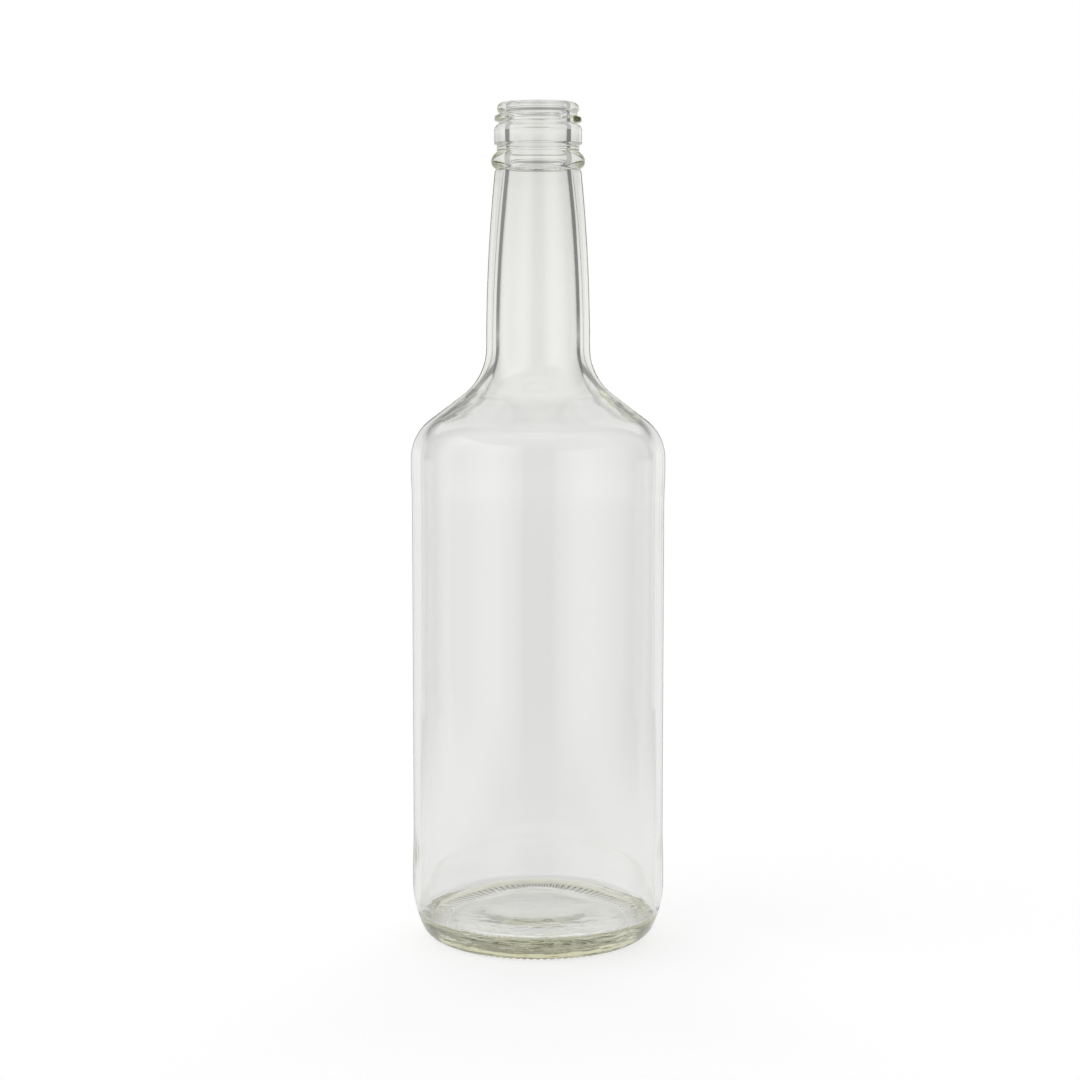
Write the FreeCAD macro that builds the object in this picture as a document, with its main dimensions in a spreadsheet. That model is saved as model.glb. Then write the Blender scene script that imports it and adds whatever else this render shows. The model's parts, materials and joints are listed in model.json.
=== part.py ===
import FreeCAD, Part
import math
import os
import re
import Sketcher
from FreeCAD import Vector

# Clear glass bottle with a straight body, a sloping shoulder, a long neck that swells slightly
# and a 28 mm finish with one thread for a rolled-on cap. It stands on z = 0 with its axis on Z.
#
# The glass is one wall of revolution. It is divided on level planes into five zones, bottom up:
# base, body, shoulder, neck and finish. Each zone is modelled from its own lower plane upwards,
# and neighbours share the same sizes where they meet.

# Name, size in millimetres (degrees for angles), and what it measures.
SIZES = [
    ("body_radius", 40.1, "outside of the contact bands at heel and shoulder"),
    ("body_wall", 2.4, "glass of the body and of the shoulder's lower curve"),
    ("heel_inset", 9.2, "from the contact band in to the bearing ring's outer edge"),
    ("heel_height", 16.8, "from the bearing ring up to the straight wall"),
    ("heel_corner_radius", 7.0, "lower arc of the heel, the long arc above follows from it"),
    ("heel_band", 5.2, "straight contact band above the heel"),
    ("bearing_width", 3.0, "flat ring that the bottle stands on"),
    ("knurl_land", 1.5, "plain inner part of the bearing ring, inside the knurls"),
    ("knurl_count", 100, "knurls round the bearing ring"),
    ("knurl_width", 1.0, "gap between two knurls"),
    ("knurl_depth", 1.2, "depth of the gaps, which run out on the heel"),
    ("push_up", 0.5, "rise of the hollow underside at its centre"),
    ("floor_edge", 7.8, "inside floor above the table, at its edge"),
    ("floor_dome", 0.8, "rise of the inside floor at its centre"),
    ("floor_corner_radius", 1.8, "inside corner between floor and wall"),
    ("panel_recess", 0.3, "depth of the label panel below the contact bands"),
    ("panel_foot_blend", 12.0, "height of the taper from the heel band to the panel"),
    ("panel_height", 106.0, "straight label panel"),
    ("panel_head_blend", 9.0, "height of the taper from the panel to the shoulder band"),
    ("shoulder_band", 4.5, "straight contact band under the shoulder"),
    ("shoulder_radius", 15.3, "outer curve at the shoulder's foot"),
    ("shoulder_fillet", 18.8, "hollow curve from the shoulder into the neck"),
    ("shoulder_slope", 52.8, "slope of the shoulder away from upright, in degrees"),
    ("neck_height", 55.8, "from the shoulder's head to the seam under the bead"),
    ("neck_taper", 2.8, "how much narrower in radius the neck is at the seam"),
    ("neck_foot_wall", 3.8, "glass at the foot of the neck"),
    ("bore_radius", 9.1, "straight bore through the finish"),
    ("mouth_round", 0.7, "rounded inner edge of the mouth"),
    ("seam_wall", 4.25, "glass at the seam under the bead"),
    ("bead_depth", 1.78, "transfer bead beyond the groove"),
    ("bead_crest", 2.2, "widest point of the bead above the seam"),
    ("bead_height", 5.1, "from the seam to the top of the bead"),
    ("groove_wall", 3.85, "glass in the groove between bead and band"),
    ("groove_height", 2.3, "open height of the groove"),
    ("band_depth", 1.5, "locking band beyond the thread's root"),
    ("band_height", 6.3, "locking band, from its ledge to the thread's root"),
    ("band_ledge_round", 0.6, "lower edge of the locking band"),
    ("band_top_round", 1.8, "height of the round at the band's top"),
    ("root_wall", 3.2, "glass at the thread's root"),
    ("thread_depth", 1.35, "thread beyond its root"),
    ("thread_root_height", 2.5, "height of the thread at its root"),
    ("thread_crest_height", 1.2, "height of the thread at its crest"),
    ("thread_seat", 0.4, "how far the thread's section reaches into the wall"),
    ("thread_lead", 0.9, "climb of the thread in one full turn"),
    ("thread_turns", 0.94, "length of the thread in turns"),
    ("thread_gap", 0.1, "bare root above the band and below the lip"),
    ("thread_end_angle", -31.0, "direction of the thread's lower end from +X, in degrees"),
    ("lip_depth", 0.53, "sealing lip beyond the thread's root"),
    ("lip_height", 3.2, "from the thread's root to the sealing surface"),
    ("lip_crest", 1.35, "widest point of the lip above its lower edge"),
]
SHEET_NAME = "sizes"
ALIASES = {alias for alias, _, _ in SIZES}

# Radii and heights that several outlines share, as formulas of the sizes.
BEARING_RADIUS = "(body_radius - heel_inset)"
BEARING_BORE = f"({BEARING_RADIUS} - bearing_width)"
BODY_BORE = "(body_radius - body_wall)"
PANEL_RADIUS = "(body_radius - panel_recess)"
NECK_TOP = "(bore_radius + seam_wall)"
NECK_FOOT = f"({NECK_TOP} + neck_taper)"
NECK_FOOT_BORE = f"({NECK_FOOT} - neck_foot_wall)"
ROOT_RADIUS = "(bore_radius + root_wall)"
GROOVE_RADIUS = "(bore_radius + groove_wall)"

SLOPE_SINE = "sin(shoulder_slope * 1deg)"
SLOPE_COSINE = "cos(shoulder_slope * 1deg)"
SLOPE_TANGENT = "tan(shoulder_slope * 1deg)"
SHOULDER_CURVES = "(shoulder_radius + shoulder_fillet)"

BASE_HEIGHT = "(heel_height + heel_band)"
BODY_HEIGHT = "(panel_foot_blend + panel_height + panel_head_blend + shoulder_band)"
SHOULDER_HEIGHT = (
    f"({SHOULDER_CURVES} * {SLOPE_SINE}"
    f" + (body_radius - {NECK_FOOT} - {SHOULDER_CURVES} * (1 - {SLOPE_COSINE})) / {SLOPE_TANGENT})"
)
THREAD_HEIGHT = "(thread_root_height + thread_lead * thread_turns + 2 * thread_gap)"

# How an edge of an outline runs to its corner from the one before.
STRAIGHT = "straight"
LEVEL_FIRST = "arc, level at the corner before"
LEVEL_LAST = "arc, level at its own corner"
UPRIGHT_FIRST = "arc, upright at the corner before"
UPRIGHT_LAST = "arc, upright at its own corner"

# The sketcher's numbers for the ends and centre of a curve, the two axes and the origin.
CURVE_START, CURVE_END, CURVE_CENTRE = range(1, 4)
LEVEL_AXIS, UPRIGHT_AXIS = range(-1, -3, -1)
ORIGIN = (LEVEL_AXIS, CURVE_START)

FULL_TURN = 360
FAILED_STATES = {"Invalid", "Error"}


def make_sheet(doc):
    """The spreadsheet with the driving sizes, one named cell each."""
    sheet = doc.addObject("Spreadsheet::Sheet", SHEET_NAME)
    for row, (alias, size, note) in enumerate(SIZES, start=1):
        sheet.set(f"A{row}", alias)
        sheet.set(f"B{row}", str(size))
        sheet.setAlias(f"B{row}", alias)
        sheet.set(f"C{row}", note)
    doc.recompute()
    return sheet


def bound(formula):
    """The formula as other objects write it, with each size named as a cell of the sheet."""
    def cell(word):
        return f"{SHEET_NAME}.{word.group()}" if word.group() in ALIASES else word.group()
    return re.sub(r"[a-z_]+", cell, formula)


def arc_centre(first, last, course):
    """Centre of the arc between two corners that runs level or upright at one of them."""
    at_first = course in (LEVEL_FIRST, UPRIGHT_FIRST)
    known, other = (first, last) if at_first else (last, first)
    step = other - known
    if course in (UPRIGHT_FIRST, UPRIGHT_LAST):
        return known + Vector(step.dot(step) / (2 * step.x), 0, 0)
    return known + Vector(0, step.dot(step) / (2 * step.y), 0)


def draw_edge(sketch, first, last, course):
    """Adds one edge, and gives its number and which of its ends lies at each corner."""
    if course == STRAIGHT:
        return sketch.addGeometry(Part.LineSegment(first, last), False), CURVE_START, CURVE_END
    centre = arc_centre(first, last, course)
    spokes = [first - centre, last - centre]
    forward = spokes[0].cross(spokes[1]).z > 0
    angles = [math.atan2(spoke.y, spoke.x) for spoke in (spokes if forward else reversed(spokes))]
    circle = Part.Circle(centre, Vector(0, 0, 1), spokes[0].Length)
    edge = sketch.addGeometry(Part.ArcOfCircle(circle, *angles), False)
    first_end, last_end = (CURVE_START, CURVE_END) if forward else (CURVE_END, CURVE_START)
    steady = "Vertical" if course in (LEVEL_FIRST, LEVEL_LAST) else "Horizontal"
    known_end = first_end if course in (LEVEL_FIRST, UPRIGHT_FIRST) else last_end
    sketch.addConstraint(Sketcher.Constraint(steady, edge, CURVE_CENTRE, edge, known_end))
    return edge, first_end, last_end


def pin(sketch, edge, end, formula, kind, axis):
    """Ties one coordinate of a corner to its formula, or to the axis where it is zero."""
    if formula == "0":
        sketch.addConstraint(Sketcher.Constraint("PointOnObject", edge, end, axis))
        return
    size = sketch.Document.getObject(SHEET_NAME).evalExpression(formula)
    index = sketch.addConstraint(Sketcher.Constraint(kind, *ORIGIN, edge, end, size))
    sketch.setExpression(f"Constraints[{index}]", bound(formula))


def draw_outline(body, name, corners, plane_role="XZ_Plane"):
    """A closed sketch, in the upright plane unless told: each corner has its course and place."""
    sketch = body.newObject("Sketcher::SketchObject", name)
    plane = next(item for item in body.Origin.OriginFeatures if item.Role == plane_role)
    sketch.AttachmentSupport = [(plane, "")]
    sketch.MapMode = "FlatFace"
    sheet = body.Document.getObject(SHEET_NAME)
    places = [Vector(sheet.evalExpression(x), sheet.evalExpression(y), 0) for _, x, y in corners]
    edges = []
    for index, (course, _, _) in enumerate(corners):
        edges.append(draw_edge(sketch, places[index - 1], places[index], course))
    for index, (edge, first_end, _) in enumerate(edges):
        before, _, before_end = edges[index - 1]
        sketch.addConstraint(Sketcher.Constraint("Coincident", before, before_end, edge, first_end))
    for (edge, _, last_end), (_, x, y) in zip(edges, corners):
        pin(sketch, edge, last_end, x, "DistanceX", UPRIGHT_AXIS)
        pin(sketch, edge, last_end, y, "DistanceY", LEVEL_AXIS)
    return sketch


def turned_zone(doc, label, corners, foot=None):
    """One zone of the wall: its section turned about the axis, standing on the zone below."""
    body = doc.addObject("PartDesign::Body", label)
    body.Label = label
    section = draw_outline(body, f"{label}_section", corners)
    wall = body.newObject("PartDesign::Revolution", f"{label}_wall")
    wall.Profile = section
    wall.ReferenceAxis = (section, ["V_Axis"])
    wall.Angle = FULL_TURN
    if foot:
        body.setExpression("Placement.Base.z", bound(foot))
    return body


def make_base(doc):
    """Push-up, flat bearing ring with knurls, two-arc heel, and the domed floor inside."""
    long_arc = (
        "((heel_inset^2 + heel_height^2 - 2 * heel_height * heel_corner_radius)"
        " / (2 * (heel_inset - heel_corner_radius)))"
    )
    share = f"heel_corner_radius / ({long_arc} - heel_corner_radius)"
    handover_radius = f"{BEARING_RADIUS} + {share} * ({long_arc} - heel_inset)"
    handover_height = f"heel_corner_radius - {share} * (heel_height - heel_corner_radius)"
    body = turned_zone(doc, "base", [
        (STRAIGHT, "0", "push_up"),
        (LEVEL_FIRST, BEARING_BORE, "0"),
        (STRAIGHT, BEARING_RADIUS, "0"),
        (LEVEL_FIRST, handover_radius, handover_height),
        (UPRIGHT_LAST, "body_radius", "heel_height"),
        (STRAIGHT, "body_radius", BASE_HEIGHT),
        (STRAIGHT, BODY_BORE, BASE_HEIGHT),
        (STRAIGHT, BODY_BORE, "floor_edge + floor_corner_radius"),
        (LEVEL_LAST, f"{BODY_BORE} - floor_corner_radius", "floor_edge"),
        (LEVEL_LAST, "0", "floor_edge + floor_dome"),
    ])
    add_knurls(body)
    return body


def add_knurls(body):
    """Narrow radial gaps in the bearing ring, from its plain inner part out on to the heel."""
    inner_end = f"{BEARING_BORE} + knurl_land"
    outer_end = f"{BEARING_RADIUS} + heel_corner_radius / 2"
    slot = draw_outline(body, "knurl_slot", [
        (STRAIGHT, inner_end, "0"),
        (STRAIGHT, outer_end, "0"),
        (STRAIGHT, outer_end, "knurl_width"),
        (STRAIGHT, inner_end, "knurl_width"),
    ], plane_role="XY_Plane")
    gap = body.newObject("PartDesign::Pocket", "knurl_gap")
    gap.Profile = slot
    gap.Reversed = True
    gap.setExpression("Length", bound("knurl_depth"))
    knurls = body.newObject("PartDesign::PolarPattern", "knurls")
    knurls.Originals = [gap]
    knurls.Axis = (slot, ["N_Axis"])
    knurls.Angle = FULL_TURN
    knurls.setExpression("Occurrences", bound("knurl_count"))
    body.Tip = knurls


def make_body(doc):
    """Straight wall with the label panel sunk between the two contact bands."""
    panel_foot = "panel_foot_blend"
    panel_head = f"{panel_foot} + panel_height"
    band_foot = f"{panel_head} + panel_head_blend"
    return turned_zone(doc, "body", [
        (STRAIGHT, BODY_BORE, "0"),
        (STRAIGHT, "body_radius", "0"),
        (STRAIGHT, PANEL_RADIUS, panel_foot),
        (STRAIGHT, PANEL_RADIUS, panel_head),
        (STRAIGHT, "body_radius", band_foot),
        (STRAIGHT, "body_radius", BODY_HEIGHT),
        (STRAIGHT, BODY_BORE, BODY_HEIGHT),
    ], foot=BASE_HEIGHT)


def make_shoulder(doc):
    """Round out of the body, straight slope, hollow round into the neck; the inside runs parallel."""
    inner_radius = "(shoulder_radius - body_wall)"
    inner_fillet = (
        "(shoulder_fillet + body_wall"
        f" - (neck_foot_wall - body_wall) / (1 / {SLOPE_COSINE} - 1))"
    )
    turn = f"(1 - {SLOPE_COSINE})"
    return turned_zone(doc, "shoulder", [
        (UPRIGHT_LAST, BODY_BORE, "0"),
        (STRAIGHT, "body_radius", "0"),
        (UPRIGHT_FIRST, f"body_radius - shoulder_radius * {turn}", f"shoulder_radius * {SLOPE_SINE}"),
        (STRAIGHT, f"{NECK_FOOT} + shoulder_fillet * {turn}",
         f"{SHOULDER_HEIGHT} - shoulder_fillet * {SLOPE_SINE}"),
        (UPRIGHT_LAST, NECK_FOOT, SHOULDER_HEIGHT),
        (STRAIGHT, NECK_FOOT_BORE, SHOULDER_HEIGHT),
        (UPRIGHT_FIRST, f"{NECK_FOOT_BORE} + {inner_fillet} * {turn}",
         f"{SHOULDER_HEIGHT} - {inner_fillet} * {SLOPE_SINE}"),
        (STRAIGHT, f"{BODY_BORE} - {inner_radius} * {turn}", f"{inner_radius} * {SLOPE_SINE}"),
    ], foot=f"{BASE_HEIGHT} + {BODY_HEIGHT}")


def make_neck(doc):
    """Long neck: inside and outside are single arcs that stand upright at the foot."""
    return turned_zone(doc, "neck", [
        (UPRIGHT_LAST, NECK_FOOT_BORE, "0"),
        (STRAIGHT, NECK_FOOT, "0"),
        (UPRIGHT_FIRST, NECK_TOP, "neck_height"),
        (STRAIGHT, "bore_radius", "neck_height"),
    ], foot=f"{BASE_HEIGHT} + {BODY_HEIGHT} + {SHOULDER_HEIGHT}")


def make_finish(doc):
    """Transfer bead, groove, locking band, thread and sealing lip round the straight bore."""
    lip_radius = f"{ROOT_RADIUS} + lip_depth"
    band_radius = f"{ROOT_RADIUS} + band_depth"
    band_foot = "bead_height + groove_height"
    band_head = f"{band_foot} + band_height"
    lip_foot = f"{band_head} + {THREAD_HEIGHT}"
    sealing_height = f"{lip_foot} + lip_height"
    body = turned_zone(doc, "finish", [
        (STRAIGHT, "bore_radius", "0"),
        (STRAIGHT, NECK_TOP, "0"),
        (UPRIGHT_LAST, f"{GROOVE_RADIUS} + bead_depth", "bead_crest"),
        (UPRIGHT_FIRST, GROOVE_RADIUS, "bead_height"),
        (STRAIGHT, GROOVE_RADIUS, band_foot),
        (STRAIGHT, f"{band_radius} - band_ledge_round", band_foot),
        (UPRIGHT_LAST, band_radius, f"{band_foot} + band_ledge_round"),
        (STRAIGHT, band_radius, f"{band_head} - band_top_round"),
        (UPRIGHT_FIRST, ROOT_RADIUS, band_head),
        (STRAIGHT, ROOT_RADIUS, lip_foot),
        (UPRIGHT_LAST, lip_radius, f"{lip_foot} + lip_crest"),
        (UPRIGHT_FIRST, f"{lip_radius} - (lip_height - lip_crest)", sealing_height),
        (STRAIGHT, "bore_radius + mouth_round", sealing_height),
        (UPRIGHT_LAST, "bore_radius", f"{sealing_height} - mouth_round"),
    ], foot=f"{BASE_HEIGHT} + {BODY_HEIGHT} + {SHOULDER_HEIGHT} + neck_height")
    add_thread(body, f"{band_head} + thread_gap")
    body.setExpression("Placement.Rotation.Angle", bound("thread_end_angle * 1deg"))
    return body


def add_thread(body, foot):
    """One right-hand turn of thread with a flat crest, from its lower end up to its start."""
    slant = "(thread_root_height - thread_crest_height) / 2"
    section = draw_outline(body, "thread_section", [
        (STRAIGHT, f"{ROOT_RADIUS} - thread_seat", foot),
        (STRAIGHT, ROOT_RADIUS, foot),
        (STRAIGHT, f"{ROOT_RADIUS} + thread_depth", f"{foot} + {slant}"),
        (STRAIGHT, f"{ROOT_RADIUS} + thread_depth", f"{foot} + {slant} + thread_crest_height"),
        (STRAIGHT, ROOT_RADIUS, f"{foot} + thread_root_height"),
        (STRAIGHT, f"{ROOT_RADIUS} - thread_seat", f"{foot} + thread_root_height"),
    ])
    thread = body.newObject("PartDesign::AdditiveHelix", "thread")
    thread.Profile = section
    thread.ReferenceAxis = (section, ["V_Axis"])
    thread.Mode = "pitch-turns-angle"
    thread.setExpression("Pitch", bound("thread_lead"))
    thread.setExpression("Turns", bound("thread_turns"))


def check(doc, zones):
    """Stops the build where an object failed or a zone is not one sound solid."""
    for item in doc.Objects:
        if FAILED_STATES & set(item.State):
            raise RuntimeError(f"{item.Label} failed: {item.State}")
        if item.isDerivedFrom("Sketcher::SketchObject") and not item.FullyConstrained:
            raise RuntimeError(f"{item.Label} is not fully constrained")
    for zone in zones:
        if zone.Shape.isNull() or not zone.Shape.isValid() or len(zone.Shape.Solids) != 1:
            raise RuntimeError(f"{zone.Label} is not one valid solid")
    if doc.getObject("knurls").Shape.Volume >= doc.getObject("base_wall").Shape.Volume:
        raise RuntimeError("the gaps between the knurls cut nothing")
    if doc.getObject("thread").Shape.Volume <= doc.getObject("finish_wall").Shape.Volume:
        raise RuntimeError("the thread adds nothing")


def main():
    doc = FreeCAD.newDocument("glass_bottle")
    make_sheet(doc)
    zones = [make_base(doc), make_body(doc), make_shoulder(doc), make_neck(doc), make_finish(doc)]
    doc.recompute()
    check(doc, zones)
    os.makedirs("parts", exist_ok=True)
    for zone in zones:
        zone.Shape.exportStep(f"parts/{zone.Label}.step")
        print(f"{zone.Label}: {zone.Shape.Volume:.1f} mm3, top at {zone.Shape.BoundBox.ZMax:.2f} mm")


main()
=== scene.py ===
import json
import math
import bpy
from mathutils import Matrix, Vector


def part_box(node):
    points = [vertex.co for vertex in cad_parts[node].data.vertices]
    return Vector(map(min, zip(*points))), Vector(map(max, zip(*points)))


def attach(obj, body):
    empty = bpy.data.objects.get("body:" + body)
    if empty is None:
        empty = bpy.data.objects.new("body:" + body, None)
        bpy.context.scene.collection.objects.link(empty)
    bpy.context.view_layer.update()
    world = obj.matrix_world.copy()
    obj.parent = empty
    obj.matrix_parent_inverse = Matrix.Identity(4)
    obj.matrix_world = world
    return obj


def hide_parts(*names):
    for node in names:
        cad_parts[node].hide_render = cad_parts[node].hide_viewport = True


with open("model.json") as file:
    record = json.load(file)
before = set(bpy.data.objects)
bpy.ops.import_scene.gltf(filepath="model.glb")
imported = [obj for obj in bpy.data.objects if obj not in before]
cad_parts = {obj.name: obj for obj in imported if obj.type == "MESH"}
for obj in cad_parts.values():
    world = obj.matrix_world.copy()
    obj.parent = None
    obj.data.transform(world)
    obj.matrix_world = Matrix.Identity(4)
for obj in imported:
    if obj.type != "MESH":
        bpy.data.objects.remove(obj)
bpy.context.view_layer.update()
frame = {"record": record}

# A clear glass bottle: one wall of glass, turned from its half section, in a plain white studio.
# Lengths are in metres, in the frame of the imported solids.
MM = 0.001

# Heights and radii that the solids give.
BODY_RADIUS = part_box("base")[1].x
BASE_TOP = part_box("base")[1].z
BODY_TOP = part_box("body")[1].z
SHOULDER_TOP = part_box("shoulder")[1].z
NECK_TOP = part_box("neck")[1].z
MOUTH_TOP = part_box("finish")[1].z
MOUNTS = {mount["name"]: mount for mount in frame["record"]["mounts"]}
BORE_RADIUS = MOUNTS["mouth"]["dims"]["r_mm"] * MM
BAND_RADIUS = MOUNTS["locking_band"]["dims"]["r_mm"] * MM

# Underside, heel and floor.
PUSH_UP = 0.5 * MM
BEARING_WIDTH = 3.0 * MM
BEARING_RADIUS = BODY_RADIUS - 9.2 * MM
BEARING_BORE = BEARING_RADIUS - BEARING_WIDTH
KNURL_LAND = 0.6 * MM
KNURL_COUNT = 100
KNURL_DEPTH = 1.2 * MM
HEEL_HEIGHT = 16.8 * MM
HEEL_CORNER = 7.0 * MM
FLOOR_EDGE = 7.8 * MM
FLOOR_DOME = 0.8 * MM
FLOOR_CORNER = 1.8 * MM
FLOOR_WAVE = 0.27 * MM
FLOOR_WAVE_PLACE = (-1 * MM, 4 * MM)
FLOOR_WAVE_REACH = (22 * MM, 16 * MM)

# Body with its label panel, and shoulder.
BODY_BORE = BODY_RADIUS - 2.4 * MM
PANEL_RADIUS = BODY_RADIUS - 0.3 * MM
PANEL_FOOT = BASE_TOP + 12.0 * MM
PANEL_HEAD = BASE_TOP + 118.0 * MM
SHOULDER_BAND_FOOT = PANEL_HEAD + 9.0 * MM
SHOULDER_RADIUS = 15.3 * MM
SHOULDER_FILLET = 18.8 * MM
SHOULDER_SLOPE = math.radians(52.8)
INNER_SHOULDER_RADIUS = 13.4 * MM
INNER_FILLET = 20.2 * MM

# Neck and finish.
NECK_TOP_RADIUS = BORE_RADIUS + 4.25 * MM
NECK_FOOT_RADIUS = NECK_TOP_RADIUS + 2.8 * MM
NECK_FOOT_BORE = NECK_FOOT_RADIUS - 3.8 * MM
GROOVE_RADIUS = BORE_RADIUS + 3.85 * MM
BEAD_RADIUS = GROOVE_RADIUS + 1.78 * MM
BEAD_CREST = NECK_TOP + 2.2 * MM
BEAD_HEAD = NECK_TOP + 5.1 * MM
BAND_FOOT = BEAD_HEAD + 2.3 * MM
BAND_HEAD = BAND_FOOT + 6.3 * MM
BAND_LEDGE_ROUND = 0.6 * MM
BAND_TOP_ROUND = 1.8 * MM
ROOT_RADIUS = BORE_RADIUS + 3.2 * MM
LIP_HEIGHT = 3.2 * MM
LIP_FOOT = MOUTH_TOP - LIP_HEIGHT
LIP_CREST = LIP_FOOT + 1.35 * MM
LIP_RADIUS = ROOT_RADIUS + 0.53 * MM
MOUTH_ROUND = 0.7 * MM
SEAM_WIDTH = 0.25 * MM

# One right-hand turn of thread, from its lower end round to its start near the front.
THREAD_DEPTH = 1.35 * MM
THREAD_ROOT = 2.5 * MM
THREAD_CREST = 1.2 * MM
THREAD_FOOT = BAND_HEAD + 0.1 * MM
THREAD_LEAD = 0.9 * MM
THREAD_TURNS = 0.94
THREAD_END_TURN = -31 / 360
THREAD_RUN = 0.05

# Marks of the mould, and the slow swell of the blown inside.
MOULD_SEAM_HEIGHT = 0.22 * MM
RING_SEAM_HEIGHT = 0.04 * MM
RING_SEAM_DASHES = 44
RING_SEAM_BREAK = -0.3
BLOWN_SWELL = 0.3 * MM
SWELL_SQUEEZE = 0.45
SWELL_SCALE = 22.0
SWELL_DETAIL = 1.0
COLUMNS = 4 * KNURL_COUNT
MERGE_DISTANCE = 1e-7

# How an arc of the section runs: level or upright at its first or last corner.
LEVEL_FIRST = "level first"
LEVEL_LAST = "level last"
UPRIGHT_FIRST = "upright first"
UPRIGHT_LAST = "upright last"

TRAITS = ("knurled", "threaded", "blown", "settled", "seamed", "ring_seamed")


class Section:
    """Half section of the glass as rows of radius, height and traits, drawn corner by corner."""

    def __init__(self, radius, height):
        self.rows = [(Vector((radius, height)), {})]

    def add(self, places, traits):
        self.rows.extend((place, traits) for place in places)

    def line(self, radius, height, steps=1, **traits):
        first, last = self.rows[-1][0], Vector((radius, height))
        self.add([first.lerp(last, step / steps) for step in range(1, steps + 1)], traits)

    def ease(self, radius, height, steps, upright=True, **traits):
        """A flat S between two upright or two level stretches."""
        first, last = self.rows[-1][0], Vector((radius, height))
        places = []
        for step in range(1, steps + 1):
            share = step / steps
            eased = share * share * (3 - 2 * share)
            shares = (eased, share) if upright else (share, eased)
            places.append(Vector(a + (b - a) * part for a, b, part in zip(first, last, shares)))
        self.add(places, traits)

    def arc(self, radius, height, course, steps, **traits):
        """An arc that is level or upright at one of its ends."""
        first, last = self.rows[-1][0], Vector((radius, height))
        at_first = course in (LEVEL_FIRST, UPRIGHT_FIRST)
        known, other = (first, last) if at_first else (last, first)
        chord = other - known
        if course in (UPRIGHT_FIRST, UPRIGHT_LAST):
            centre = known + Vector((chord.length_squared / (2 * chord.x), 0))
        else:
            centre = known + Vector((0, chord.length_squared / (2 * chord.y)))
        spoke = first - centre
        start = math.atan2(spoke.y, spoke.x)
        last_spoke = last - centre
        turn = math.atan2(spoke.x * last_spoke.y - spoke.y * last_spoke.x, spoke.dot(last_spoke))
        places = []
        for step in range(1, steps + 1):
            angle = start + turn * step / steps
            places.append(centre + spoke.length * Vector((math.cos(angle), math.sin(angle))))
        self.add(places, traits)


def draw_base(section):
    """Hollow underside, knurled bearing ring and the two-arc heel."""
    section.arc(BEARING_BORE, 0, LEVEL_FIRST, 14)
    section.line(BEARING_BORE + KNURL_LAND, 0)
    section.line(BEARING_RADIUS, 0, 5, knurled=1)
    inset = BODY_RADIUS - BEARING_RADIUS
    long_arc = (inset**2 + HEEL_HEIGHT**2 - 2 * HEEL_HEIGHT * HEEL_CORNER) / (2 * (inset - HEEL_CORNER))
    share = HEEL_CORNER / (long_arc - HEEL_CORNER)
    handover_radius = BEARING_RADIUS + share * (long_arc - inset)
    handover_height = HEEL_CORNER - share * (HEEL_HEIGHT - HEEL_CORNER)
    section.arc(handover_radius, handover_height, LEVEL_FIRST, 14, knurled=1)
    section.arc(BODY_RADIUS, HEEL_HEIGHT, UPRIGHT_LAST, 10, seamed=1)
    section.line(BODY_RADIUS, BASE_TOP, seamed=1)


def draw_body(section):
    """Label panel, sunk a little between the two contact bands."""
    section.ease(PANEL_RADIUS, PANEL_FOOT, 6, seamed=1)
    section.line(PANEL_RADIUS, PANEL_HEAD, 5, seamed=1)
    section.ease(BODY_RADIUS, SHOULDER_BAND_FOOT, 6, seamed=1)
    section.line(BODY_RADIUS, BODY_TOP, seamed=1)


def draw_shoulder(section):
    """Round out of the body, straight slope and hollow round into the neck."""
    sine = math.sin(SHOULDER_SLOPE)
    drop = 1 - math.cos(SHOULDER_SLOPE)
    slope_foot = (BODY_RADIUS - SHOULDER_RADIUS * drop, BODY_TOP + SHOULDER_RADIUS * sine)
    slope_head = (NECK_FOOT_RADIUS + SHOULDER_FILLET * drop, SHOULDER_TOP - SHOULDER_FILLET * sine)
    section.arc(*slope_foot, UPRIGHT_FIRST, 10, seamed=1)
    section.line(*slope_head, 2, seamed=1)
    section.arc(NECK_FOOT_RADIUS, SHOULDER_TOP, UPRIGHT_LAST, 10, seamed=1)


def draw_neck(section):
    """Long neck, one arc, up to the parting line under the bead."""
    section.arc(NECK_TOP_RADIUS, NECK_TOP - 3 * SEAM_WIDTH, UPRIGHT_FIRST, 11, seamed=1)
    section.line(NECK_TOP_RADIUS, NECK_TOP - 2 * SEAM_WIDTH)
    section.line(NECK_TOP_RADIUS, NECK_TOP - 1.5 * SEAM_WIDTH, ring_seamed=1)
    section.line(NECK_TOP_RADIUS, NECK_TOP - SEAM_WIDTH)
    section.line(NECK_TOP_RADIUS, NECK_TOP)


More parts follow.
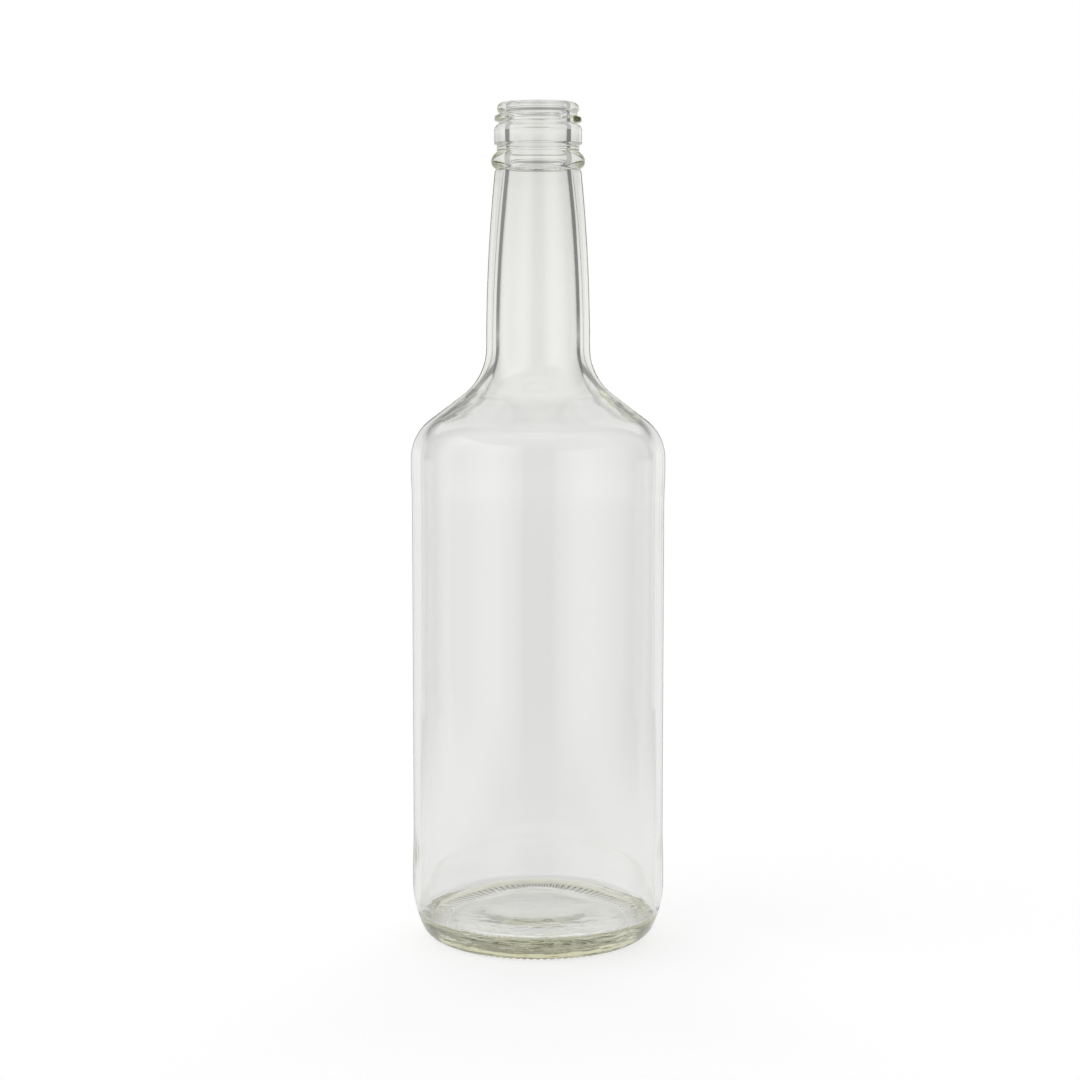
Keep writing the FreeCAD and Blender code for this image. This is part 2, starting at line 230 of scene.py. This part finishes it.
def draw_finish(section):
    """Transfer bead, groove, locking band, thread root, sealing lip and the round into the bore."""
    section.arc(BEAD_RADIUS, BEAD_CREST, UPRIGHT_LAST, 7)
    section.arc(GROOVE_RADIUS, BEAD_HEAD, UPRIGHT_FIRST, 8)
    section.line(GROOVE_RADIUS, BAND_FOOT - BAND_LEDGE_ROUND / 2, 2)
    section.arc(GROOVE_RADIUS + BAND_LEDGE_ROUND / 2, BAND_FOOT, UPRIGHT_FIRST, 3)
    section.arc(BAND_RADIUS, BAND_FOOT + BAND_LEDGE_ROUND, UPRIGHT_LAST, 5)
    section.line(BAND_RADIUS, BAND_HEAD - BAND_TOP_ROUND)
    section.arc(ROOT_RADIUS, BAND_HEAD, UPRIGHT_FIRST, 8)
    section.line(ROOT_RADIUS, LIP_FOOT, 18, threaded=1)
    section.arc(LIP_RADIUS, LIP_CREST, UPRIGHT_LAST, 5)
    section.arc(LIP_RADIUS - (MOUTH_TOP - LIP_CREST), MOUTH_TOP, UPRIGHT_FIRST, 7)
    section.line(BORE_RADIUS + MOUTH_ROUND, MOUTH_TOP, 2)
    section.arc(BORE_RADIUS, MOUTH_TOP - MOUTH_ROUND, UPRIGHT_LAST, 5)


def draw_inside(section):
    """From the bore down the neck, shoulder and body to the domed floor."""
    centres_aside = NECK_FOOT_BORE + INNER_FILLET - BODY_BORE + INNER_SHOULDER_RADIUS
    apart = Vector((centres_aside, SHOULDER_TOP - BODY_TOP))
    slope = math.asin((INNER_FILLET + INNER_SHOULDER_RADIUS) / apart.length) - math.atan2(apart.x, apart.y)
    sine = math.sin(slope)
    drop = 1 - math.cos(slope)
    slope_head = (NECK_FOOT_BORE + INNER_FILLET * drop, SHOULDER_TOP - INNER_FILLET * sine)
    slope_foot = (BODY_BORE - INNER_SHOULDER_RADIUS * drop, BODY_TOP + INNER_SHOULDER_RADIUS * sine)
    section.line(BORE_RADIUS, NECK_TOP, 4)
    section.arc(NECK_FOOT_BORE, SHOULDER_TOP, UPRIGHT_LAST, 14, blown=0.6)
    section.arc(*slope_head, UPRIGHT_FIRST, 9, blown=0.8)
    section.line(*slope_foot, 4, blown=1)
    section.arc(BODY_BORE, BODY_TOP, UPRIGHT_LAST, 8, blown=1)
    section.line(BODY_BORE, FLOOR_EDGE + FLOOR_CORNER, 16, blown=1)
    section.arc(BODY_BORE - FLOOR_CORNER, FLOOR_EDGE, LEVEL_LAST, 8, blown=1)
    section.arc(0, FLOOR_EDGE + FLOOR_DOME, LEVEL_LAST, 16, blown=0.5, settled=1)


def section_mesh():
    """The half section as a line of points, with the way each row faces and its traits."""
    section = Section(0, PUSH_UP)
    for draw in (draw_base, draw_body, draw_shoulder, draw_neck, draw_finish, draw_inside):
        draw(section)
    rows = section.rows
    places = [place for place, _ in rows]
    mesh = bpy.data.meshes.new("half_section")
    links = [(index, index + 1) for index in range(len(rows) - 1)]
    mesh.from_pydata([(place.x, 0, place.y) for place in places], links, [])
    facing = mesh.attributes.new("facing", "FLOAT_VECTOR", "POINT")
    for index, item in enumerate(facing.data):
        way = places[min(index + 1, len(rows) - 1)] - places[max(index - 1, 0)]
        way.normalize()
        item.vector = (way.y, 0, -way.x)
    for trait in TRAITS:
        weights = mesh.attributes.new(trait, "FLOAT", "POINT")
        weights.data.foreach_set("value", [traits.get(trait, 0) for _, traits in rows])
    return mesh


def place(tree, kind, feeds=(), **settings):
    """Adds a node with its settings, and feeds its inputs with values or other nodes' outputs."""
    made = tree.nodes.new(kind)
    for name, value in settings.items():
        setattr(made, name, value)
    for socket, value in dict(feeds).items():
        feed(tree, made.inputs[socket], value)
    return made


def feed(tree, socket, value):
    """Links a node's output to the socket, or sets the socket to a value."""
    if isinstance(value, bpy.types.NodeSocket):
        tree.links.new(value, socket)
    else:
        socket.default_value = value


def sums(tree):
    """A short way to write arithmetic with nodes of one tree."""
    def reckon(operation, *values):
        return place(tree, "ShaderNodeMath", enumerate(values), operation=operation).outputs[0]
    return reckon


def fade(tree, value, start, end):
    """0 at start and before, 1 at end and past it, with a smooth course between."""
    feeds = {"Value": value, "From Min": start, "From Max": end}
    return place(tree, "ShaderNodeMapRange", feeds, interpolation_type="SMOOTHSTEP").outputs[0]


def fade_by_angle(tree, angle, start, end):
    """The same between two angles in degrees."""
    return fade(tree, angle, math.radians(start), math.radians(end))


def turning_tree(glass):
    """Turns a half section about Z, and cuts knurls, thread and mould marks by rule."""
    tree = bpy.data.node_groups.new("turned_glass", "GeometryNodeTree")
    for name, kind in (
        ("Section", "Geometry"), ("Columns", "Int"), ("Knurl Count", "Int"), ("Knurl Depth", "Float"),
        ("Thread Depth", "Float"), ("Mould Seam Height", "Float"), ("Ring Seam Height", "Float"),
        ("Blown Swell", "Float"), ("Floor Wave", "Float"),
    ):
        tree.interface.new_socket(name, in_out="INPUT", socket_type="NodeSocket" + kind)
    tree.interface.new_socket("Glass", in_out="OUTPUT", socket_type="NodeSocketGeometry")
    given = place(tree, "NodeGroupInput").outputs
    reckon = sums(tree)

    row_count = place(tree, "GeometryNodeAttributeDomainSize", {0: given["Section"]}).outputs["Point Count"]
    column_count = reckon("ADD", given["Columns"], 1)
    grid = place(tree, "GeometryNodeMeshGrid", {"Vertices X": column_count, "Vertices Y": row_count})
    index = place(tree, "GeometryNodeInputIndex").outputs[0]
    column = reckon("FLOOR", reckon("DIVIDE", reckon("ADD", index, 0.5), row_count))
    row = reckon("SUBTRACT", index, reckon("MULTIPLY", column, row_count))
    turn = reckon("DIVIDE", column, given["Columns"])
    angle = reckon("MULTIPLY", turn, math.tau)

    def of_row(field, kind):
        """What a field gives at the row of the section that a point of the grid belongs to."""
        feeds = {"Geometry": given["Section"], "Value": field, "Index": row}
        return place(tree, "GeometryNodeSampleIndex", feeds, data_type=kind).outputs[0]

    def named(name, kind):
        made = place(tree, "GeometryNodeInputNamedAttribute", {"Name": name}, data_type=kind)
        return of_row(made.outputs["Attribute"], kind)

    position = of_row(place(tree, "GeometryNodeInputPosition").outputs[0], "FLOAT_VECTOR")
    spot = place(tree, "ShaderNodeSeparateXYZ", {0: position}).outputs
    facing = place(tree, "ShaderNodeSeparateXYZ", {0: named("facing", "FLOAT_VECTOR")}).outputs
    radius, height = spot["X"], spot["Z"]
    cosine, sine = reckon("COSINE", angle), reckon("SINE", angle)

    # Gaps between knurls lift the bearing ring and run out on the heel.
    wave = reckon("COSINE", reckon("MULTIPLY", angle, given["Knurl Count"]))
    gap = reckon("MULTIPLY", reckon("SUBTRACT", 1, wave), 0.5)
    gap_height = reckon("MULTIPLY", reckon("MULTIPLY", gap, given["Knurl Depth"]), named("knurled", "FLOAT"))
    lifted = reckon("MAXIMUM", height, gap_height)

    # The thread climbs evenly, and dies away at both ends.
    along = reckon("FRACT", reckon("SUBTRACT", turn, THREAD_END_TURN))
    crest_height = reckon("MULTIPLY_ADD", along, THREAD_LEAD, THREAD_FOOT + THREAD_ROOT / 2)
    off_crest = reckon("ABSOLUTE", reckon("SUBTRACT", height, crest_height))
    ridge = fade(tree, off_crest, THREAD_ROOT / 2, THREAD_CREST / 2)
    run_out = fade(tree, along, 0, THREAD_RUN)
    run_in = fade(tree, along, THREAD_TURNS, THREAD_TURNS - THREAD_RUN)
    ends = reckon("MULTIPLY", run_out, run_in)
    thread = reckon("MULTIPLY", reckon("MULTIPLY", ridge, ends), named("threaded", "FLOAT"))
    thread_depth = reckon("MULTIPLY", thread, given["Thread Depth"])

    # Parting lines of the mould: two upright ones, and a broken one round the neck.
    half_turn = reckon("ABSOLUTE", reckon("SINE", angle))
    on_seam = reckon("LESS_THAN", half_turn, 0.5 * math.tau / COLUMNS)
    seam = reckon("MULTIPLY", on_seam, named("seamed", "FLOAT"))
    dash_wave = reckon("SINE", reckon("MULTIPLY", angle, RING_SEAM_DASHES))
    dash = reckon("GREATER_THAN", dash_wave, RING_SEAM_BREAK)
    ring = reckon("MULTIPLY", dash, named("ring_seamed", "FLOAT"))
    marks = reckon(
        "ADD", reckon("MULTIPLY", seam, given["Mould Seam Height"]),
        reckon("MULTIPLY", ring, given["Ring Seam Height"]),
    )

    # The inside was blown, not moulded, so the wall is thicker in some places than in others.
    around = place(tree, "ShaderNodeCombineXYZ", {
        "X": reckon("MULTIPLY", radius, cosine), "Y": reckon("MULTIPLY", radius, sine),
        "Z": reckon("MULTIPLY", height, SWELL_SQUEEZE),
    }).outputs[0]
    feeds = {"Vector": around, "Scale": SWELL_SCALE, "Detail": SWELL_DETAIL}
    noise = place(tree, "ShaderNodeTexNoise", feeds)
    swell = reckon("MULTIPLY", reckon("SUBTRACT", noise.outputs[0], 0.5), named("blown", "FLOAT"))
    blown = reckon("MULTIPLY", reckon("MULTIPLY", swell, 2), given["Blown Swell"])

    # Marks and swell move the skin the way it faces, and the inside floor takes its step.
    moved = reckon("ADD", marks, blown)
    full_radius = reckon("ADD", reckon("MULTIPLY_ADD", moved, facing["X"], radius), thread_depth)
    aside, back = reckon("MULTIPLY", full_radius, cosine), reckon("MULTIPLY", full_radius, sine)
    wave_spot = place(tree, "ShaderNodeCombineXYZ", {"X": aside, "Y": back}).outputs[0]
    feeds = {0: wave_spot, 1: (*FLOOR_WAVE_PLACE, 0)}
    off_wave = place(tree, "ShaderNodeVectorMath", feeds, operation="DISTANCE").outputs["Value"]
    wave_rise = reckon("MULTIPLY", fade(tree, off_wave, *FLOOR_WAVE_REACH), named("settled", "FLOAT"))
    full_height = reckon(
        "MULTIPLY_ADD", wave_rise, given["Floor Wave"], reckon("MULTIPLY_ADD", moved, facing["Z"], lifted),
    )
    spread = place(tree, "ShaderNodeCombineXYZ", {"X": aside, "Y": back, "Z": full_height}).outputs[0]
    turned = place(tree, "GeometryNodeSetPosition", {"Geometry": grid.outputs["Mesh"], "Position": spread})
    feeds = {"Geometry": turned.outputs[0], "Distance": MERGE_DISTANCE}
    closed = place(tree, "GeometryNodeMergeByDistance", feeds)
    smooth = place(tree, "GeometryNodeSetShadeSmooth", {0: closed.outputs[0]})
    real = place(tree, "GeometryNodeRealizeInstances", {0: smooth.outputs[0]})
    dressed = place(tree, "GeometryNodeSetMaterial", {"Geometry": real.outputs[0], "Material": glass})
    place(tree, "NodeGroupOutput", {0: dressed.outputs[0]})
    return tree


def make_bottle(glass):
    """The whole bottle as one closed mesh of glass."""
    turner = bpy.data.objects.new("turner", section_mesh())
    bpy.context.scene.collection.objects.link(turner)
    modifier = turner.modifiers.new("turned_glass", "NODES")
    tree = turning_tree(glass)
    modifier.node_group = tree
    sizes = {
        "Columns": COLUMNS, "Knurl Count": KNURL_COUNT, "Knurl Depth": KNURL_DEPTH,
        "Thread Depth": THREAD_DEPTH, "Mould Seam Height": MOULD_SEAM_HEIGHT,
        "Ring Seam Height": RING_SEAM_HEIGHT, "Blown Swell": BLOWN_SWELL, "Floor Wave": FLOOR_WAVE,
    }
    for item in tree.interface.items_tree:
        if item.name in sizes:
            modifier[item.identifier] = sizes[item.name]
    evaluated = turner.evaluated_get(bpy.context.evaluated_depsgraph_get())
    mesh = bpy.data.meshes.new_from_object(evaluated)
    mesh.name = "bottle_glass"
    bpy.data.objects.remove(turner)
    bottle = bpy.data.objects.new("bottle_glass", mesh)
    bpy.context.scene.collection.objects.link(bottle)
    return bottle


# The glass: clear, with fainter flows in it, olive at the heel and where it is thick.
GLASS_COLOUR = (0.995, 0.995, 0.995, 1)
FLOW_COLOUR = (0.985, 0.988, 0.982, 1)
HEEL_COLOUR = (0.92, 0.89, 0.7, 1)
HEEL_REACH = (30 * MM, 33 * MM)
HEEL_TINT_RISE = (6 * MM, 3 * MM)
GLASS_IOR = 1.52
THICK_COLOUR = (0.52, 0.54, 0.07, 1)
THICK_DENSITY = 6.5

# Grains of the glass: squeeze along the height, scale and detail.
RIPPLE_GRAIN = (0.5, 70.0, 2.0)
FLOW_GRAIN = (0.15, 60.0, 3.0)
STREAK_GRAIN = (6, 90.0, 2.0)
STREAK_RISE = (17 * MM, 7 * MM)
STREAK_SHARE = 7
SKIN_STRENGTH = 0.35
SKIN_DEPTH = 0.15 * MM


def blend(tree, share, first, last):
    """The first colour, with a share of the last one in it."""
    made = place(tree, "ShaderNodeMix", data_type="RGBA")
    feed(tree, made.inputs["Factor"], share)
    colours = [socket for socket in made.inputs if socket.type == "RGBA"]
    feed(tree, colours[0], first)
    feed(tree, colours[1], last)
    return next(socket for socket in made.outputs if socket.type == "RGBA")


def grain(tree, spot, squeeze, scale, detail):
    """Noise that is squeezed or drawn out along the bottle's height."""
    squeezed = place(tree, "ShaderNodeMapping", {"Vector": spot, "Scale": (1, 1, squeeze)}).outputs[0]
    feeds = {"Vector": squeezed, "Scale": scale, "Detail": detail}
    return place(tree, "ShaderNodeTexNoise", feeds).outputs[0]


def make_glass():
    """Clear glass, olive at the heel and where it is thick, with a soft ripple and a streaked heel."""
    glass = bpy.data.materials.new("clear_glass")
    glass.use_nodes = True
    tree = glass.node_tree
    shader = tree.nodes["Principled BSDF"]
    shader.inputs["IOR"].default_value = GLASS_IOR
    shader.inputs["Transmission Weight"].default_value = 1
    shader.inputs["Roughness"].default_value = 0.0
    reckon = sums(tree)
    spot = place(tree, "ShaderNodeTexCoord").outputs["Object"]
    way = place(tree, "ShaderNodeSeparateXYZ", {0: spot}).outputs
    flat_spot = place(tree, "ShaderNodeCombineXYZ", {"X": way["X"], "Y": way["Y"]}).outputs[0]
    off_axis = place(tree, "ShaderNodeVectorMath", {0: flat_spot}, operation="LENGTH").outputs["Value"]
    outer = fade(tree, off_axis, *HEEL_REACH)

    streaked = reckon("MULTIPLY", outer, fade(tree, way["Z"], *STREAK_RISE))
    streaks = reckon("MULTIPLY", grain(tree, spot, *STREAK_GRAIN), streaked)
    skin = reckon("MULTIPLY_ADD", streaks, STREAK_SHARE, grain(tree, spot, *RIPPLE_GRAIN))
    bump = place(tree, "ShaderNodeBump", {"Height": skin, "Strength": SKIN_STRENGTH, "Distance": SKIN_DEPTH})
    tree.links.new(bump.outputs[0], shader.inputs["Normal"])

    heel = reckon("MULTIPLY", outer, fade(tree, way["Z"], *HEEL_TINT_RISE))
    clear = blend(tree, grain(tree, spot, *FLOW_GRAIN), GLASS_COLOUR, FLOW_COLOUR)
    tree.links.new(blend(tree, heel, clear, HEEL_COLOUR), shader.inputs["Base Color"])
    thick = place(tree, "ShaderNodeVolumeAbsorption", {"Color": THICK_COLOUR, "Density": THICK_DENSITY})
    tree.links.new(thick.outputs[0], tree.nodes["Material Output"].inputs["Volume"])
    return glass


# The studio, by direction from the bottle, in degrees. The softboxes are placed round from the front, and
# the other panels round from the back. Left is negative. A gain or loss is the span over which a light fades.
BACKDROP_LEVEL = 0.845
BACKDROP_MIDDLE_LEVEL = 0.9
BACKDROP_UPPER_LEVEL = 0.77
BACKDROP_CLIMB = (-6, 1)
BACKDROP_FALL = (0, 8)
BACKDROP_SPAN = (-47, 47)
BACKDROP_RISE = (-88, 13.5)
TOP_LIGHT_LEVEL = 0.82
TOP_LIGHT_RISE = (22, 62)
GAP_LEVEL = 0.34
GAP_RISE = (4, 32)
WING_LEVEL = 0.52
WING_SPAN = (-80, 80)
WING_RISE = (-60, 1)
LEFT_BOX_LEVEL = 1.0
LEFT_BOX_SPAN = (-112, -14)
LEFT_BOX_GAIN = (12, -54)
LEFT_BOX_LOSS = (-135, -85)
RIGHT_BOX_LEVEL = 0.82
RIGHT_BOX_SPAN = (15, 116)
RIGHT_BOX_GAIN = (-9, 43)
RIGHT_BOX_LOSS = (98, 32)
LEFT_BOX_RISE = (-60, 44)
RIGHT_BOX_RISE = (-60, 32)
LIGHT_CORNER = 6
SCREEN_EDGE = 3
BOX_EDGE = 0.8
ROOM_LEVEL = 0.2


def panel_mask(tree, across, up, span, rise, edge):
    """1 on a panel with rounded corners, given by its spans in degrees, with soft edges."""
    reckon = sums(tree)

    def past(value, limits):
        middle, half = sum(limits) / 2, (limits[1] - limits[0]) / 2
        off = reckon("ABSOLUTE", reckon("SUBTRACT", value, math.radians(middle)))
        return reckon("MAXIMUM", reckon("SUBTRACT", off, math.radians(half - LIGHT_CORNER)), 0)

    sideways, upward = past(across, span), past(up, rise)
    off = reckon("SQRT", reckon("MULTIPLY_ADD", sideways, sideways, reckon("MULTIPLY", upward, upward)))
    return fade_by_angle(tree, off, LIGHT_CORNER + edge, LIGHT_CORNER - edge)


def studio_group():
    """How bright the studio is in a direction: backdrop behind, softboxes at both sides, else a dim room."""
    tree = bpy.data.node_groups.new("studio", "ShaderNodeTree")
    tree.interface.new_socket("Direction", in_out="INPUT", socket_type="NodeSocketVector")
    tree.interface.new_socket("Level", in_out="OUTPUT", socket_type="NodeSocketFloat")
    reckon = sums(tree)
    way = place(tree, "ShaderNodeSeparateXYZ", {0: place(tree, "NodeGroupInput").outputs[0]}).outputs
    up = reckon("ARCSINE", way["Z"])
    from_front = reckon("ARCTAN2", way["X"], reckon("MULTIPLY", way["Y"], -1))
    from_back = reckon("ARCTAN2", way["X"], way["Y"])
    climb = fade_by_angle(tree, up, *BACKDROP_CLIMB)
    fall = fade_by_angle(tree, up, *BACKDROP_FALL)
    backdrop = reckon("MULTIPLY_ADD", climb, BACKDROP_MIDDLE_LEVEL - BACKDROP_LEVEL, BACKDROP_LEVEL)
    backdrop = reckon("MULTIPLY_ADD", fall, BACKDROP_UPPER_LEVEL - BACKDROP_MIDDLE_LEVEL, backdrop)

    def box_level(level, *courses):
        """A softbox falls off to its sides."""
        for course in courses:
            level = reckon("MULTIPLY", fade_by_angle(tree, from_front, *course), level)
        return level

    left_box = box_level(LEFT_BOX_LEVEL, LEFT_BOX_GAIN, LEFT_BOX_LOSS)
    right_box = box_level(RIGHT_BOX_LEVEL, RIGHT_BOX_GAIN, RIGHT_BOX_LOSS)
    panels = [
        (from_back, BACKDROP_SPAN, BACKDROP_RISE, SCREEN_EDGE, backdrop),
        (from_back, BACKDROP_SPAN, TOP_LIGHT_RISE, SCREEN_EDGE, TOP_LIGHT_LEVEL),
        (from_back, BACKDROP_SPAN, GAP_RISE, SCREEN_EDGE, GAP_LEVEL),
        (from_back, WING_SPAN, WING_RISE, SCREEN_EDGE, WING_LEVEL),
        (from_front, LEFT_BOX_SPAN, LEFT_BOX_RISE, BOX_EDGE, left_box),
        (from_front, RIGHT_BOX_SPAN, RIGHT_BOX_RISE, BOX_EDGE, right_box),
    ]
    level = ROOM_LEVEL
    for across, span, rise, edge, bright in panels:
        mask = panel_mask(tree, across, up, span, rise, edge)
        level = reckon("MAXIMUM", reckon("MULTIPLY", mask, bright), level)
    place(tree, "NodeGroupOutput", {0: level})
    return tree


def studio_level(tree, studio, direction):
    """The studio's group, placed in a tree and asked for one direction."""
    made = place(tree, "ShaderNodeGroup", node_tree=studio)
    feed(tree, made.inputs[0], direction)
    return made.outputs[0]


def make_world(studio):
    """White for the camera; in and through the glass, the studio round the bottle."""
    world = bpy.data.worlds.new("studio")
    bpy.context.scene.world = world
    world.use_nodes = True
    tree = world.node_tree
    direction = place(tree, "ShaderNodeTexCoord").outputs["Generated"]
    seen = place(tree, "ShaderNodeLightPath").outputs["Is Camera Ray"]
    level = sums(tree)("MAXIMUM", seen, studio_level(tree, studio, direction))
    tree.links.new(level, tree.nodes["Background"].inputs["Color"])


# The table: a pale disc. In the glass it glows, with a painted pool of light under the bottle, a painted
# shadow round the bottle's foot and painted shade towards the front, and passes into the studio far out.
TABLE_RADIUS = 0.45
TABLE_CORNERS = 96
TABLE_COLOUR = (0.8, 0.8, 0.8, 1)
TABLE_ROUGHNESS = 0.9
TABLE_LIFT = 0.68
TABLE_GLOW = 0.84
TABLE_PAINTED_POOL = 1.03
PAINTED_POOL_REACH = (0.029, 0.024)
TABLE_PAINTED_FRONT_SHADE = 0.45
FRONT_SPAN = (75, 45)
FRONT_REACH = (0.07, 0.12)
TABLE_PAINTED_SHADOW = 0.76
PAINTED_SHADOW_GAIN = (0.028, 0.032)
PAINTED_SHADOW_LOSS = (0.058, 0.048)
FAR_REACH = (0.12, 0.44)
TABLE_DROP = 0.06


def make_table(studio):
    """A round pale table that keeps the bottle's shadow; the glass sees it as part of the studio, with
    painted light and shade.
    """
    mesh = bpy.data.meshes.new("table")
    turns = [math.tau * corner / TABLE_CORNERS for corner in range(TABLE_CORNERS)]
    rim = [(TABLE_RADIUS * math.cos(turn), TABLE_RADIUS * math.sin(turn), 0) for turn in turns]
    mesh.from_pydata(rim, [], [list(range(TABLE_CORNERS))])
    table = bpy.data.objects.new("table", mesh)
    bpy.context.scene.collection.objects.link(table)
    pale = bpy.data.materials.new("pale_table")
    pale.use_nodes = True
    tree = pale.node_tree
    reckon = sums(tree)
    shader = tree.nodes["Principled BSDF"]
    shader.inputs["Base Color"].default_value = TABLE_COLOUR
    shader.inputs["Roughness"].default_value = TABLE_ROUGHNESS
    shader.inputs["Emission Color"].default_value = (1, 1, 1, 1)
    rays = place(tree, "ShaderNodeLightPath").outputs
    tree.links.new(reckon("MULTIPLY", rays["Is Camera Ray"], TABLE_LIFT), shader.inputs["Emission Strength"])

    spot = place(tree, "ShaderNodeTexCoord").outputs["Object"]
    feeds = {0: spot, 1: (0, 0, -TABLE_DROP)}
    sunk_spot = place(tree, "ShaderNodeVectorMath", feeds, operation="ADD").outputs[0]
    direction = place(tree, "ShaderNodeVectorMath", {0: sunk_spot}, operation="NORMALIZE").outputs[0]
    distance = place(tree, "ShaderNodeVectorMath", {0: spot}, operation="LENGTH").outputs["Value"]
    way = place(tree, "ShaderNodeSeparateXYZ", {0: spot}).outputs
    from_front = reckon("ABSOLUTE", reckon("ARCTAN2", way["X"], reckon("MULTIPLY", way["Y"], -1)))
    # Painted shade on the table towards the camera, which the glass sees.
    painted_front_shade = reckon(
        "MULTIPLY", fade_by_angle(tree, from_front, *FRONT_SPAN), fade(tree, distance, *FRONT_REACH),
    )
    far = fade(tree, distance, *FAR_REACH)
    # Painted pool of light on the table under the bottle, which the glass sees.
    close = reckon("MULTIPLY_ADD", fade(tree, distance, *PAINTED_POOL_REACH), TABLE_PAINTED_POOL - TABLE_GLOW, TABLE_GLOW)
    # Painted shadow of the bottle on the table round its foot, which the glass sees.
    shade = reckon("MULTIPLY", fade(tree, distance, *PAINTED_SHADOW_GAIN), fade(tree, distance, *PAINTED_SHADOW_LOSS))
    close = reckon("MULTIPLY_ADD", shade, TABLE_PAINTED_SHADOW - TABLE_GLOW, close)
    near = reckon("MULTIPLY_ADD", painted_front_shade, reckon("SUBTRACT", TABLE_PAINTED_FRONT_SHADE, close), close)
    beyond = reckon("SUBTRACT", studio_level(tree, studio, direction), near)
    lit = reckon("MULTIPLY_ADD", far, beyond, near)
    glowing = place(tree, "ShaderNodeEmission", {"Color": lit})
    in_glass = reckon("MAXIMUM", rays["Is Transmission Ray"], rays["Is Glossy Ray"])
    mixed = place(tree, "ShaderNodeMixShader", {0: in_glass, 1: shader.outputs[0], 2: glowing.outputs[0]})
    tree.links.new(mixed.outputs[0], tree.nodes["Material Output"].inputs["Surface"])
    mesh.materials.append(pale)


# Light runs far inside a wall of glass before it leaves.
LIGHT_BOUNCES = 48

# The camera stands a little above the middle of the bottle and looks slightly down.
CAMERA_PLACE = (0.0006, -0.735, 0.1997)
CAMERA_TILT = 84.4
CAMERA_LENS = 77.4


def make_camera():
    """The view of the front."""
    data = bpy.data.cameras.new("camera")
    data.lens = CAMERA_LENS
    camera = bpy.data.objects.new("camera", data)
    camera.location = CAMERA_PLACE
    camera.rotation_euler = (math.radians(CAMERA_TILT), 0, 0)
    bpy.context.scene.collection.objects.link(camera)
    bpy.context.scene.camera = camera


glass = make_glass()
bottle = make_bottle(glass)
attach(bottle, "root")
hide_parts("base", "body", "shoulder", "neck", "finish")

studio = studio_group()
make_world(studio)
make_table(studio)
make_camera()
bpy.context.scene.view_settings.view_transform = "Standard"
paths = bpy.context.scene.cycles
paths.max_bounces = paths.transmission_bounces = paths.glossy_bounces = LIGHT_BOUNCES
